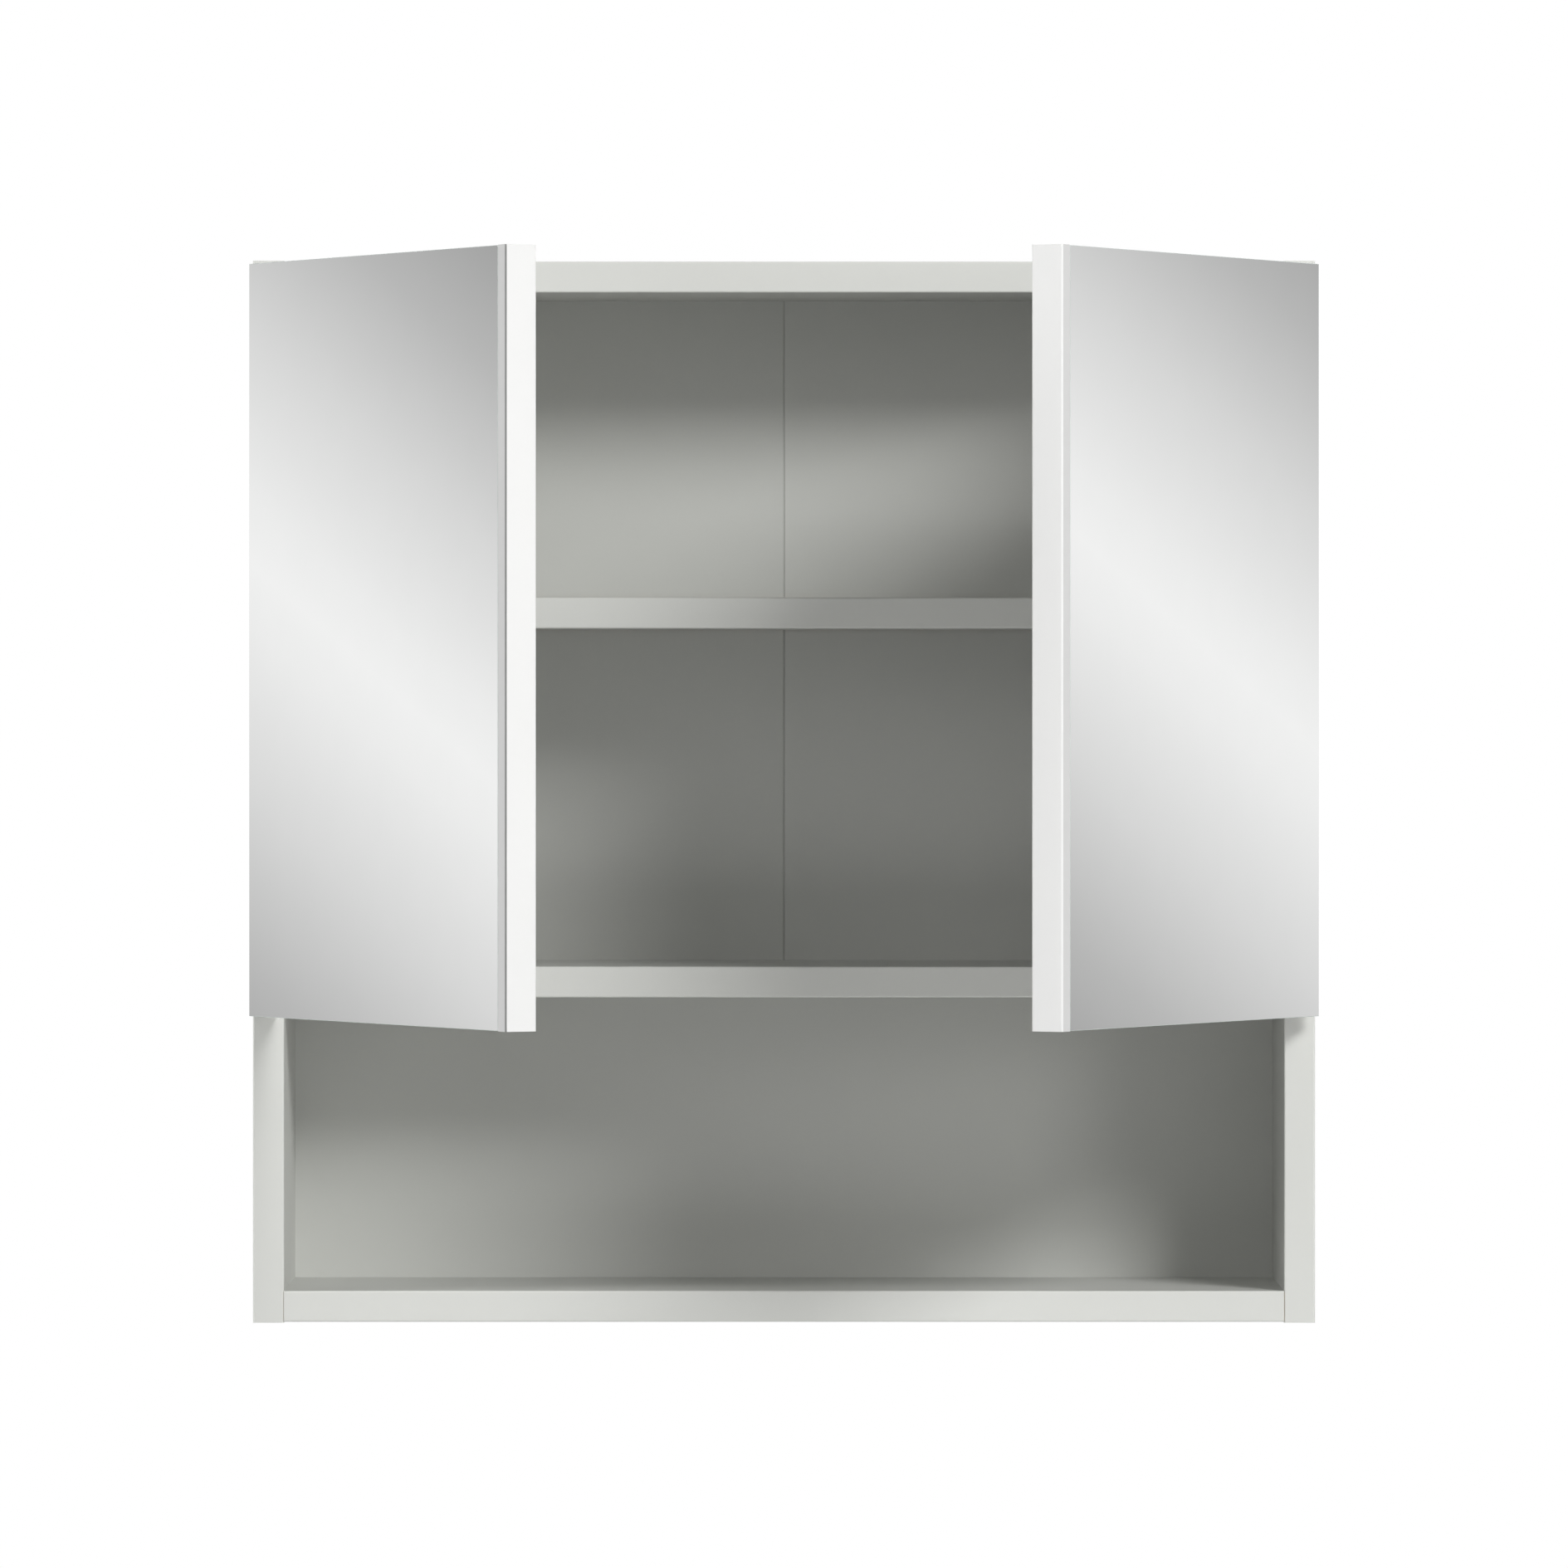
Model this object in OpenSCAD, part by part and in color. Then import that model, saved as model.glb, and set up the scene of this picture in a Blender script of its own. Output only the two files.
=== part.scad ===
// Hanging wall cabinet: two mirrored doors over a shelved bay, with an open niche below.
// Origin: midway between the two hanger holes, on the wall plane. +Z is up and the front faces -Y.
// Hinge parts are drawn in the plan of the closed left door: first number from the cabinet's outer
// side plane towards the middle, second number from the carcass front plane towards the wall.

/* [Carcass] */
// Width over the side panels
cabinet_w = 600; // [500:10:800]
// Height of the side panels
cabinet_h = 600; // [560:10:760]
// Depth of the side panels, without the doors
cabinet_d = 145; // [135:5:220]
// Thickness of every carcass board and of the shelf
board_t = 17.5; // [17:0.5:19]
// Clear height of the open niche
niche_h = 165.8; // [120:1:190]
// How far the side panels stand past the top and bottom panels
side_overshoot = 0.5; // [0:0.1:2]
// Radius of the boards' long edges
edge_r = 1; // [0.5:0.1:2]

/* [Back panels] */
// Thickness of the back panels
back_t = 3; // [2.5:0.5:5]
// Free depth behind the back panels, where the hangers sit
back_recess = 9; // [8:1:20]
// Depth of the grooves that hold the back panels
groove_depth = 5; // [3:0.5:7]
// Play of a back panel in its groove, in thickness
groove_play = 0.2; // [0.1:0.1:0.5]
// Open width of the fold in the upper back panel
fold_gap = 0.9; // [0.4:0.1:2]
// Width of the tape over the fold
tape_w = 40; // [25:1:60]
// Thickness of the tape over the fold
tape_t = 0.3; // [0.2:0.1:0.5]

/* [Shelf] */
// How far the shelf's front edge stands behind the carcass front
shelf_setback = 8; // [5:1:20]
// Play between the shelf and each side panel
shelf_play = 0.5; // [0.3:0.1:1.5]
// Vertical pitch of the pin holes
pin_pitch = 32; // [25:1:40]
// Number of pin holes in each row
pin_rows = 5; // [3:2:5]
// Height of the middle pin hole above the middle panel
pin_mid_h = 188.5; // [160:0.5:200]
// Diameter of the pin holes
pin_hole_d = 5; // [4:0.5:6]
// Depth of the pin holes
pin_hole_depth = 9; // [7:1:11]
// Distance of the pin hole rows from the shelf's front and rear edges
pin_inset = 25; // [20:1:35]

/* [Panel joints] */
// Diameter of a cam lock
cam_d = 15; // [12:0.5:16]
// Depth of a cam lock's bore
cam_depth = 12.8; // [12:0.1:13.5]
// Distance from the panel's end to the cam's centre
cam_reach = 34; // [24:1:40]
// Distance of the cams from the panel's front and rear edges
cam_inset = 32; // [25:1:40]
// Diameter of a cam bolt's shank
bolt_d = 5; // [4:0.5:6]
// Depth of a cam bolt's thread in the side panel
bolt_grip = 11; // [8:0.5:12]
// Diameter of a dowel
dowel_d = 8; // [6:1:9]
// Length of a dowel
dowel_l = 30; // [24:1:40]
// Depth of a dowel in the side panel
dowel_grip = 11; // [8:0.5:12]

/* [Hangers] */
// Distance of the hanger holes below the cabinet's top
hanger_drop = 45; // [45:1:80]
// Diameter of the hole that takes the wall screw
hanger_hole_d = 6.5; // [5:0.5:8]
// Distance from the side panel's outer face to the hanger hole
hanger_inset = 29; // [27:1:34]
// Thickness of a hanger plate
hanger_t = 2; // [1.5:0.1:3]
// Height of a hanger plate
hanger_h = 50; // [44:1:60]
// Distance between a hanger plate's two screws
hanger_screw_pitch = 32; // [26:1:34]
// Depth of the hanger screws in the side panel
hanger_screw_grip = 25; // [16:1:30]

/* [Doors] */
// Thickness of a door, with its mirror flush in the front
door_t = 19; // [19:0.5:22]
// Gap between the two closed doors
door_gap = 3; // [2:0.5:5]
// Gap between a closed door and the carcass front
door_front_gap = 2; // [1.5:0.1:2.5]
// How far the doors end below the cabinet's top
door_top_drop = 2.1; // [1:0.1:5]
// How far the doors reach below the middle panel, as a finger pull
pull_lip = 10.4; // [6:0.2:20]
// Thickness of the mirror glass
mirror_t = 3; // [2:0.5:3]
// Thickness of the mounting tape behind the mirror
mount_tape_t = 0.5; // [0.3:0.1:1]
// Width of one strip of mounting tape
mount_tape_w = 25; // [15:1:40]
// Bare strip of the door beside the mirror at the free edge
mirror_bare = 8.4; // [4:0.2:20]
// Open joint between the mirror and the bare strip
mirror_gap = 0.2; // [0.1:0.1:1]
// Margin of the mirror at the other three edges
mirror_margin = 0.7; // [0.4:0.1:3]
// Diameter of a door bumper
bumper_d = 8; // [6:0.5:10]
// Thickness of a door bumper
bumper_t = 1.4; // [0.8:0.1:1.4]
// Opening angle of the doors at rest
door_angle = 59.4; // [0:0.1:95]

/* [Hinges] */
// Distance of the hinge centres from the door's top and bottom
hinge_inset = 80; // [65:1:95]
// Diameter of the hinge cup's bore
cup_d = 35; // [35:1:35]
// Depth of the hinge cup's bore
cup_depth = 12.8; // [12.8:0.1:13.4]
// Distance from the door's hinge edge to the cup's centre
cup_centre = 22.5; // [22:0.5:23]
// Thickness of the cup's flange
flange_t = 1; // [0.8:0.1:1.2]
// Distance between the cup's two screws
cup_screw_pitch = 45; // [44:1:48]
// How far the cup's screws stand beyond the cup's centre
cup_screw_offset = 9.5; // [9:0.5:11]
// Distance from the carcass front to the mounting plate's screws
plate_setback = 37; // [37:1:40]
// Distance between the mounting plate's two screws
plate_screw_pitch = 32; // [30:1:34]
// Opening of the outer links for each degree of the door
outer_turn = 0.33; // [0.32:0.01:0.34]
// Opening of the inner link for each degree of the door
inner_turn = 0.14; // [0.13:0.01:0.15]
// Running clearance of a link on its pin, in radius
pin_play = 0.05; // [0.03:0.01:0.1]
// Radius of the link pins in the arm
arm_pin_r = 1.25; // [1.1:0.05:1.4]
// Radius of the link pins in the cup
cup_pin_r = 1; // [0.9:0.05:1.1]

/* [Hidden] */
$fn = 48;

eps = 0.01; // overlap that keeps cuts clean
over = 1; // how far a cut runs past the face that it starts from
slim = 0.04; // how much slimmer a strip is than its round ends, so that no edge is tangent
bore_end_play = 0.5; // free depth behind what sits in a bore

// Heights above the cabinet's bottom
bottom_z = side_overshoot;
niche_z = bottom_z + board_t;
middle_z = niche_z + niche_h;
bay_z = middle_z + board_t;
top_z = cabinet_h - side_overshoot - board_t;
bay_h = top_z - bay_z;
hanger_z = cabinet_h - hanger_drop;
pin_mid_z = bay_z + pin_mid_h;
shelf_z = pin_mid_z + pin_hole_d / 2;

// Plan of the carcass
inner_w = cabinet_w - 2 * board_t;
front_y = -cabinet_d;
back_rear_y = -back_recess;
back_front_y = back_rear_y - back_t;
groove_w = back_t + groove_play;
panel_d = cabinet_d - back_recess - back_t;
shelf_rear_play = 1;
shelf_d = panel_d - shelf_setback - shelf_rear_play;
pin_rows_y = [front_y + shelf_setback + pin_inset, back_front_y - shelf_rear_play - pin_inset];
joint_rows_y = [front_y + cam_inset, back_front_y - cam_inset];
dowel_y = (joint_rows_y[0] + joint_rows_y[1]) / 2;
panel_bottoms = [bottom_z, middle_z, top_z];
back_play = 0.5; // play of a back panel at its edges
tape_end = 0.3; // distance of the tape's ends from the panels
bolt_play = 0.5; // play of a cam bolt in the panel's bore, in radius
bolt_collar = 1; // length of the bolt's collar, outside the side panel
bolt_collar_rim = 0.4; // how far the collar stands out from the shank
bolt_neck = [6, 3, 0.5]; // distances from the cam's centre: neck start, head start, head end
bolt_neck_cut = 1; // how much thinner the neck is, in radius
bolt_head_rim = 0.3; // how far the bolt's head stands out from the shank
cam_sink = 0.2; // how far a cam lock lies below the board's face
cam_cross = [7, 2.5]; // width and depth of the cam's cross recess

// Hanger plates
hanger_screw_x = board_t / 2;
hanger_edge = 2; // distance from the side panel's outer face to the plate
hanger_reach = 9; // width of the plate beyond its hole
hanger_w = hanger_inset + hanger_reach - hanger_edge;
hanger_step = 10; // how much shorter the ear is at each end
hanger_play = 0.1; // play of the plate in its pocket
hanger_screw_d = 4;
hanger_screw_play = 0.2; // play of a screw in the plate, in radius
hanger_cross = [3, 1.2]; // width and depth of the screws' cross recess

// Doors, in the plan of the closed left door
door_w = (cabinet_w - door_gap) / 2;
door_z = middle_z - pull_lip;
door_h = cabinet_h - door_top_drop - door_z;
door_rear = -door_front_gap;
door_front = door_rear - door_t;
rebate_v = door_front + mirror_t + mount_tape_t;
mirror_back = door_front + mirror_t;
mirror_w = door_w - mirror_bare - mirror_gap - mirror_margin;
mirror_h = door_h - 2 * mirror_margin;
hinge_heights = [door_z + hinge_inset, door_z + door_h - hinge_inset];
bumper_inset = 14; // distance of a bumper from the door's free edge
tape_strips = 4; // strips of mounting tape behind a mirror
tape_side = 15; // distance of the outer strips from the mirror's edges
tape_short = 12; // distance of the strips' ends from the mirror's edges

// Hinge pivots, in the plan of the closed left door
outer_pivot_in = 21; // from the side panel's inner face
outer_pivot_back = 6.5; // behind the carcass front
inner_pivot_in = 28;
inner_pivot_back = 4;
cup_pivot_out = 10.5; // from the cup's centre towards the hinge edge
cup_pivot_deep = 3.5; // below the door's back
free_pivot_out = 11;
free_pivot_deep = 9.5;
free_slot_out = 9.8;
free_slot_deep = 8.9;
free_slot_r = 2.65;
arm_pivot_outer = [board_t + outer_pivot_in, outer_pivot_back];
arm_pivot_inner = [board_t + inner_pivot_in, inner_pivot_back];
cup_pivot = [cup_centre - cup_pivot_out, door_rear - cup_pivot_deep];
free_pivot = [cup_centre - free_pivot_out, door_rear - free_pivot_deep];
free_slot = [cup_centre - free_slot_out, door_rear - free_slot_deep];

// Hinge sections across the height, measured from the hinge's centre
inner_link_half = 3.8;
outer_link_in = 4.6;
outer_link_out = 6.6;
arm_half = 8.2;
arm_t = 1.2;
lug_in = 7;
lug_out = 9;
pin_short = 0.4; // how far the floating pin ends inside the lugs
pin_head_r = 2.2;
pin_head_t = 0.6;

// Cup
cup_wall = 0.9;
cup_side_play = 0.05; // play of the cup in its bore, in radius
cup_floor_play = 0.1; // free depth under the cup
cup_floor = door_rear - cup_depth + cup_floor_play;
flange_r = cup_d / 2 + 2;
flange_ear_r = 5.5;
lug_top = 0.7; // how far the lugs end below the door's back
cup_screw_r = 1.8;
cup_screw_l = 12;
cup_screw_bore = cup_screw_l - flange_t + bore_end_play;
cup_screw_play = 0.1; // play of a screw in the flange, in radius
cup_screw_head = [3.4, 1.4]; // radius and height
cup_screw_cross = [4, 1.2]; // width and depth of the cross recess

// Mounting plate, with a wing on the side panel and a rail inside the arm
plate_t = 3;
wing_w = 12;
wing_end = 7; // length of the wing beyond each screw
rail_front = 14; // length of the rail in front of the screws
rail_rear = 22; // length of the rail behind the screws
rail_h = 13.4;
rail_play = 0.1;
rail_half = arm_half - arm_t - rail_play;
rail_top = board_t + rail_h;
plate_screw_r = 2.5;
plate_screw_l = 11.5;
plate_screw_play = 0.1; // play of a screw in the plate, in radius
plate_screw_head = [4, 1.6];
plate_screw_cross = [4.4, 1.4];

// Arm
arm_back = rail_top + rail_play;
arm_nose_r = 3;
arm_web_half = 2.6; // half width of the cheek between the pins
arm_nose_back = arm_pivot_inner + [3, 5];
arm_bend_front = 13; // distance of the arm's bend in front of the plate's screws
arm_tail_rear = 25; // length of the arm behind the plate's screws
arm_bend_v = plate_setback - arm_bend_front;
arm_tail_v = plate_setback + arm_tail_rear;
arm_foot = 4.4; // clear height under the cheeks, over the side panel
arm_throat = 12; // height of the cheeks' lower edge at the bend
adjuster_front = 7; // distance of the adjusting screw in front of the plate's screws
fixing_rear = 14; // distance of the fixing screw behind them
adjusters_v = [plate_setback - adjuster_front, plate_setback + fixing_rear];
adjuster_r = 2;
adjuster_play = 0.1;
adjuster_tip = 5; // height of the screws' tips over the side panel
adjuster_head = [3.6, 1.4];
adjuster_cross = [4.4, 1.2];

// Links
outer_link_half = 2; // half width of a link
inner_link_strip = 1.8;
outer_cup_eye = 2.3;
outer_arm_eye = 2.8;
inner_arm_eye = 2.5;
outer_elbow = cup_pivot + [8, -3.1];
inner_elbows = [free_pivot + [14, 0.3], arm_pivot_inner + [-10, -3]];

// ---------------------------------------------------------------- helpers

// From cabinet coordinates, with z above the cabinet's bottom, to the part's frame
module place() translate([0, 0, -hanger_z]) children();

// Draws the left-hand child and, for the other side, its mirror image
module on_side(side) mirror([side == "right" ? 1 : 0, 0, 0]) children();

module both_sides() for (side = ["left", "right"]) on_side(side) children();

// From the plan of the left side to cabinet coordinates
module left_plan() translate([-cabinet_w / 2, front_y, 0]) children();

// Turns its children about a vertical line through the plan point p
module turn_about(p, angle)
    translate([p[0], p[1], 0]) rotate([0, 0, angle]) translate([-p[0], -p[1], 0]) children();

// Moves parts drawn for the closed door to the door's angle
module with_outer_link() turn_about(arm_pivot_outer, outer_turn * door_angle) children();
module with_inner_link() turn_about(arm_pivot_inner, inner_turn * door_angle) children();
module with_door()
    with_outer_link() turn_about(cup_pivot, -(1 + outer_turn) * door_angle) children();

module at_hinges() for (z = hinge_heights) translate([0, 0, z]) children();

// Upright plate from half height a to half height b, above and below the hinge's centre
module paired(a, b)
    for (flip = [0, 1]) mirror([0, 0, flip]) translate([0, 0, a]) linear_extrude(b - a) children();

module centred(half) translate([0, 0, -half]) linear_extrude(2 * half) children();

module rounded_rect(w, d, r) {
    translate([r, 0]) square([w - 2 * r, d]);
    translate([0, r]) square([w, d - 2 * r]);
    for (x = [r, w - r], y = [r, d - r]) translate([x, y]) circle(r);
}

// Straight strip with round ends between two plan points
module strip(a, b, half) {
    reach = norm(b - a);
    turn = atan2(b[1] - a[1], b[0] - a[0]);
    translate(a) rotate(turn) translate([0, slim - half]) square([reach, 2 * (half - slim)]);
    translate(a) circle(half);
    translate(b) circle(half);
}

// Horizontal board: length along x, rounded along its front and rear long edges
module flat_board(length, depth, thick)
    translate([-length / 2, 0, 0]) rotate([90, 0, 90]) linear_extrude(length)
        rounded_rect(depth, thick, edge_r);

// Cylinder along x from x0 to x1
module rod_x(x0, x1, r) translate([x0, 0, 0]) rotate([0, 90, 0]) cylinder(h = x1 - x0, r = r);

// Cylinder along y from y0 to y1
module rod_y(y0, y1, r) translate([0, y0, 0]) rotate([-90, 0, 0]) cylinder(h = y1 - y0, r = r);

// Cross recess in a screw head that faces +z; size holds its width and depth
module cross_recess(size) {
    translate([0, 0, -size[1]]) linear_extrude(size[1] + eps) {
        square([size[0], size[0] / 4], center = true);
        square([size[0] / 4, size[0]], center = true);
    }
}

// ---------------------------------------------------------------- carcass

// Groove for a back panel in a side panel, from z0 to z1
module side_groove(z0, z1)
    translate([-groove_depth, back_front_y - groove_play / 2, z0])
        cube([groove_depth + over, groove_w, z1 - z0]);

module side_panel_plain()
    translate([0, front_y, 0]) linear_extrude(cabinet_h) rounded_rect(board_t, cabinet_d, edge_r);

// Bores in the inner face of the side panel, drawn with x = 0 on that face
module side_bores() {
    for (z = panel_bottoms) translate([0, 0, z + board_t / 2]) {
        for (y = joint_rows_y) translate([0, y, 0]) rod_x(-bolt_grip, over, bolt_d / 2);
        translate([0, dowel_y, 0]) rod_x(-dowel_grip - bore_end_play, over, dowel_d / 2);
    }
    for (y = pin_rows_y, k = [0 : pin_rows - 1])
        translate([0, y, pin_mid_z + (k - (pin_rows - 1) / 2) * pin_pitch])
            rod_x(-pin_hole_depth, over, pin_hole_d / 2);
    for (z = hinge_heights, s = [-1, 1])
        translate([0, front_y + plate_setback, z + s * plate_screw_pitch / 2])
            rod_x(-plate_screw_l - bore_end_play, over, plate_screw_r);
}

module side_panel_left_solid() {
    difference() {
        translate([-cabinet_w / 2, 0, 0]) side_panel_plain();
        translate([-inner_w / 2, 0, 0]) {
            side_groove(niche_z - groove_depth, middle_z + groove_depth);
            side_groove(bay_z - groove_depth, top_z + groove_depth);
            side_bores();
        }
        hanger_pocket();
    }
}

// Pocket in the rear edge that lets the hanger plate in flush, and its screw bores
module hanger_pocket() {
    translate([-cabinet_w / 2 + hanger_edge - hanger_play, -hanger_t,
               hanger_z - hanger_h / 2 - hanger_play])
        cube([board_t, hanger_t + over, hanger_h + 2 * hanger_play]);
    for (s = [-1, 1])
        translate([-cabinet_w / 2 + hanger_screw_x, 0, hanger_z + s * hanger_screw_pitch / 2])
            rod_y(-hanger_screw_grip, over, hanger_screw_d / 2);
}

module side_panel_left() color("#d6d7d2") place() side_panel_left_solid();
module side_panel_right() color("#d6d7d2") place() on_side("right") side_panel_left_solid();

// Bores at one end of a horizontal panel, drawn with x = 0 on the end and z = 0 on the axis
module panel_end_bores(cam_up) {
    for (y = joint_rows_y) translate([0, y, 0]) {
        rod_x(-over, cam_reach, bolt_d / 2 + bolt_play);
        translate([cam_reach, 0, 0]) mirror([0, 0, cam_up ? 0 : 1])
            translate([0, 0, board_t / 2 - cam_depth])
                cylinder(h = cam_depth + over, r = cam_d / 2);
    }
    translate([0, dowel_y, 0])
        rod_x(-over, dowel_l - dowel_grip + bore_end_play, dowel_d / 2);
}

// Horizontal panel between the sides; grooves lists the faces with a back groove, 1 up and -1 down
module horizontal_panel(z, cam_up, grooves) {
    difference() {
        translate([0, front_y, z]) flat_board(inner_w, panel_d + back_t + back_recess, board_t);
        for (face = grooves)
            translate([-inner_w / 2 - over, back_front_y - groove_play / 2,
                       z + (face > 0 ? board_t - groove_depth : -over)])
                cube([inner_w + 2 * over, groove_w, groove_depth + over]);
        both_sides() translate([-inner_w / 2, 0, z + board_t / 2]) panel_end_bores(cam_up);
    }
}

module top_panel() color("#d3d4cf") place() horizontal_panel(top_z, true, [-1]);
module middle_panel() color("#bbbcb7") place() horizontal_panel(middle_z, true, [-1, 1]);
module bottom_panel() color("#d2d3ce") place() horizontal_panel(bottom_z, false, [1]);

// Back panel from x0 to x1 between two horizontal panels, seated in their grooves
module back_panel(x0, x1, z0, z1)
    translate([x0, back_front_y, z0 - groove_depth + back_play])
        cube([x1 - x0, back_t, z1 - z0 + 2 * (groove_depth - back_play)]);

back_edge_x = inner_w / 2 + groove_depth - back_play;

module back_upper_half() back_panel(-back_edge_x, -fold_gap / 2, bay_z, top_z);
module back_upper_left() color("#c9cac5") place() back_upper_half();
module back_upper_right() color("#c9cac5") place() on_side("right") back_upper_half();
module back_lower() color("#c9cac5") place() back_panel(-back_edge_x, back_edge_x, niche_z, middle_z);

module back_fold_tape() color("#e8e4d4") place()
    translate([-tape_w / 2, back_rear_y, bay_z + tape_end])
        cube([tape_w, tape_t, bay_h - 2 * tape_end]);

// ---------------------------------------------------------------- shelf

module shelf() color("#babbb6") place()
    translate([0, front_y + shelf_setback, shelf_z])
        flat_board(inner_w - 2 * shelf_play, shelf_d, board_t);

module shelf_pins() color("#c8c9cb") place()
    both_sides() for (y = pin_rows_y) translate([-inner_w / 2, y, pin_mid_z])
        rod_x(-pin_hole_depth + bore_end_play, pin_hole_depth, pin_hole_d / 2);

// ---------------------------------------------------------------- panel joints

// Places its children at every panel end, with x = 0 on the end and z = 0 on the panel's axis
module at_panel_ends()
    for (k = [0 : 2]) both_sides()
        translate([-inner_w / 2, 0, panel_bottoms[k] + board_t / 2])
            mirror([0, 0, k == 0 ? 1 : 0]) children();

// Cam housing with its side slot for the bolt's head, drawn on the cam's axis
module cam_lock() {
    difference() {
        translate([0, 0, board_t / 2 - cam_depth])
            cylinder(h = cam_depth - cam_sink, r = cam_d / 2);
        rod_x(-cam_d, 0, bolt_d / 2 + bolt_play);
        translate([0, 0, board_t / 2 - cam_sink]) cross_recess(cam_cross);
    }
}

module cam_locks() color("#a9abad") place()
    at_panel_ends() for (y = joint_rows_y) translate([cam_reach, y, 0]) cam_lock();

module cam_bolts() color("#b9a878") place()
    at_panel_ends() for (y = joint_rows_y) translate([0, y, 0]) {
        rod_x(-bolt_grip, 0, bolt_d / 2);
        rod_x(0, bolt_collar, bolt_d / 2 + bolt_collar_rim);
        rod_x(bolt_collar, cam_reach - bolt_neck[0], bolt_d / 2);
        rod_x(cam_reach - bolt_neck[0], cam_reach - bolt_neck[1], bolt_d / 2 - bolt_neck_cut);
        rod_x(cam_reach - bolt_neck[1], cam_reach - bolt_neck[2], bolt_d / 2 + bolt_head_rim);
    }

module dowels() color("#d9bd8b") place()
    at_panel_ends() translate([0, dowel_y, 0])
        rod_x(-dowel_grip, dowel_l - dowel_grip, dowel_d / 2);

// ---------------------------------------------------------------- hangers

module hanger_plate_solid() {
    difference() {
        translate([-cabinet_w / 2 + hanger_edge, -hanger_t, hanger_z - hanger_h / 2]) {
            difference() {
                cube([hanger_w, hanger_t, hanger_h]);
                // The ear is shorter than the part let into the side panel
                for (z = [-over, hanger_h - hanger_step])
                    translate([board_t, -over, z])
                        cube([hanger_w, hanger_t + 2 * over, hanger_step + over]);
            }
        }
        translate([-cabinet_w / 2 + hanger_inset, 0, hanger_z])
            rod_y(-hanger_t - over, over, hanger_hole_d / 2);
        for (s = [-1, 1])
            translate([-cabinet_w / 2 + hanger_screw_x, 0, hanger_z + s * hanger_screw_pitch / 2])
                rod_y(-hanger_t - over, over, hanger_screw_d / 2 + hanger_screw_play);
    }
}

module hanger_plate_left() color("#b4b6b8") place() hanger_plate_solid();
module hanger_plate_right() color("#b4b6b8") place() on_side("right") hanger_plate_solid();

// Screws that hold the hanger plates, flush with them
module hanger_screws() color("#c2c4c6") place()
    both_sides() for (s = [-1, 1])
        translate([-cabinet_w / 2 + hanger_screw_x, 0, hanger_z + s * hanger_screw_pitch / 2])
            difference() {
                rod_y(-hanger_screw_grip, -hanger_play, hanger_screw_d / 2);
                translate([0, -hanger_play, 0]) rotate([-90, 0, 0]) cross_recess(hanger_cross);
            }

// ---------------------------------------------------------------- hinges, fixed side

// Mounting plate: two wings on the side panel and a rail inside the arm
module hinge_plate() {
    difference() {
        union() {
            translate([board_t, plate_setback - wing_w / 2, -plate_screw_pitch / 2 - wing_end])
                cube([plate_t, wing_w, plate_screw_pitch + 2 * wing_end]);
            translate([board_t, plate_setback - rail_front, -rail_half])
                cube([rail_h, rail_front + rail_rear, 2 * rail_half]);
        }
        for (s = [-1, 1])
            translate([board_t, plate_setback, s * plate_screw_pitch / 2])
                rod_x(-over, plate_t + over, plate_screw_r + plate_screw_play);
        for (v = adjusters_v) translate([board_t, v, 0])
            rod_x(adjuster_tip - over, rail_h + over, adjuster_r);
    }
}

module hinge_plates_left_solid() left_plan() at_hinges() hinge_plate();
module hinge_plates_left() color("#c4c6c8") place() hinge_plates_left_solid();
module hinge_plates_right() color("#c4c6c8") place() on_side("right") hinge_plates_left_solid();

module hinge_plate_screws() color("#cfd1d2") place()
    both_sides() left_plan() at_hinges() for (s = [-1, 1])
        translate([board_t, plate_setback, s * plate_screw_pitch / 2])
            difference() {
                union() {
                    rod_x(-plate_screw_l, plate_t, plate_screw_r);
                    rod_x(plate_t, plate_t + plate_screw_head[1], plate_screw_head[0]);
                }
                translate([plate_t + plate_screw_head[1], 0, 0]) rotate([0, 90, 0])
                    cross_recess(plate_screw_cross);
            }

// Outline of the arm's cheeks in plan
module arm_cheek_plan() {
    strip(arm_pivot_outer, arm_pivot_inner, arm_web_half);
    for (p = [arm_pivot_outer, arm_pivot_inner]) translate(p) circle(arm_nose_r);
    polygon([
        arm_pivot_outer + [-2, 1], arm_pivot_inner + [2, 0.5], arm_nose_back,
        [arm_back + arm_t, arm_bend_v], [arm_back + arm_t, arm_tail_v],
        [board_t + arm_foot, arm_tail_v], [board_t + arm_foot, arm_bend_v - 2],
        [board_t + arm_throat, arm_bend_v - 7]
    ]);
}

// The arm's back, which joins its cheeks
module arm_back_plan()
    polygon([
        arm_nose_back, [arm_back + arm_t, arm_bend_v], [arm_back + arm_t, arm_tail_v],
        [arm_back, arm_tail_v], [arm_back, arm_bend_v - 0.3], arm_nose_back + [-arm_t, -0.4]
    ]);

module hinge_arm() {
    difference() {
        union() {
            paired(arm_half - arm_t, arm_half) arm_cheek_plan();
            centred(arm_half) arm_back_plan();
        }
        for (v = adjusters_v) translate([arm_back, v, 0])
            rod_x(-over, arm_t + over, adjuster_r + adjuster_play);
        for (p = [arm_pivot_outer, arm_pivot_inner])
            translate(p) centred(arm_half + over) circle(arm_pin_r);
    }
}

module hinge_arms_left_solid() left_plan() at_hinges() hinge_arm();
module hinge_arms_left() color("#c9cbcd") place() hinge_arms_left_solid();
module hinge_arms_right() color("#c9cbcd") place() on_side("right") hinge_arms_left_solid();

// Headed pins riveted through the arm's cheeks
module arm_pins_left_solid()
    left_plan() at_hinges() for (p = [arm_pivot_outer, arm_pivot_inner]) translate(p) {
        centred(arm_half) circle(arm_pin_r);
        paired(arm_half, arm_half + pin_head_t) circle(pin_head_r);
    }

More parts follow.
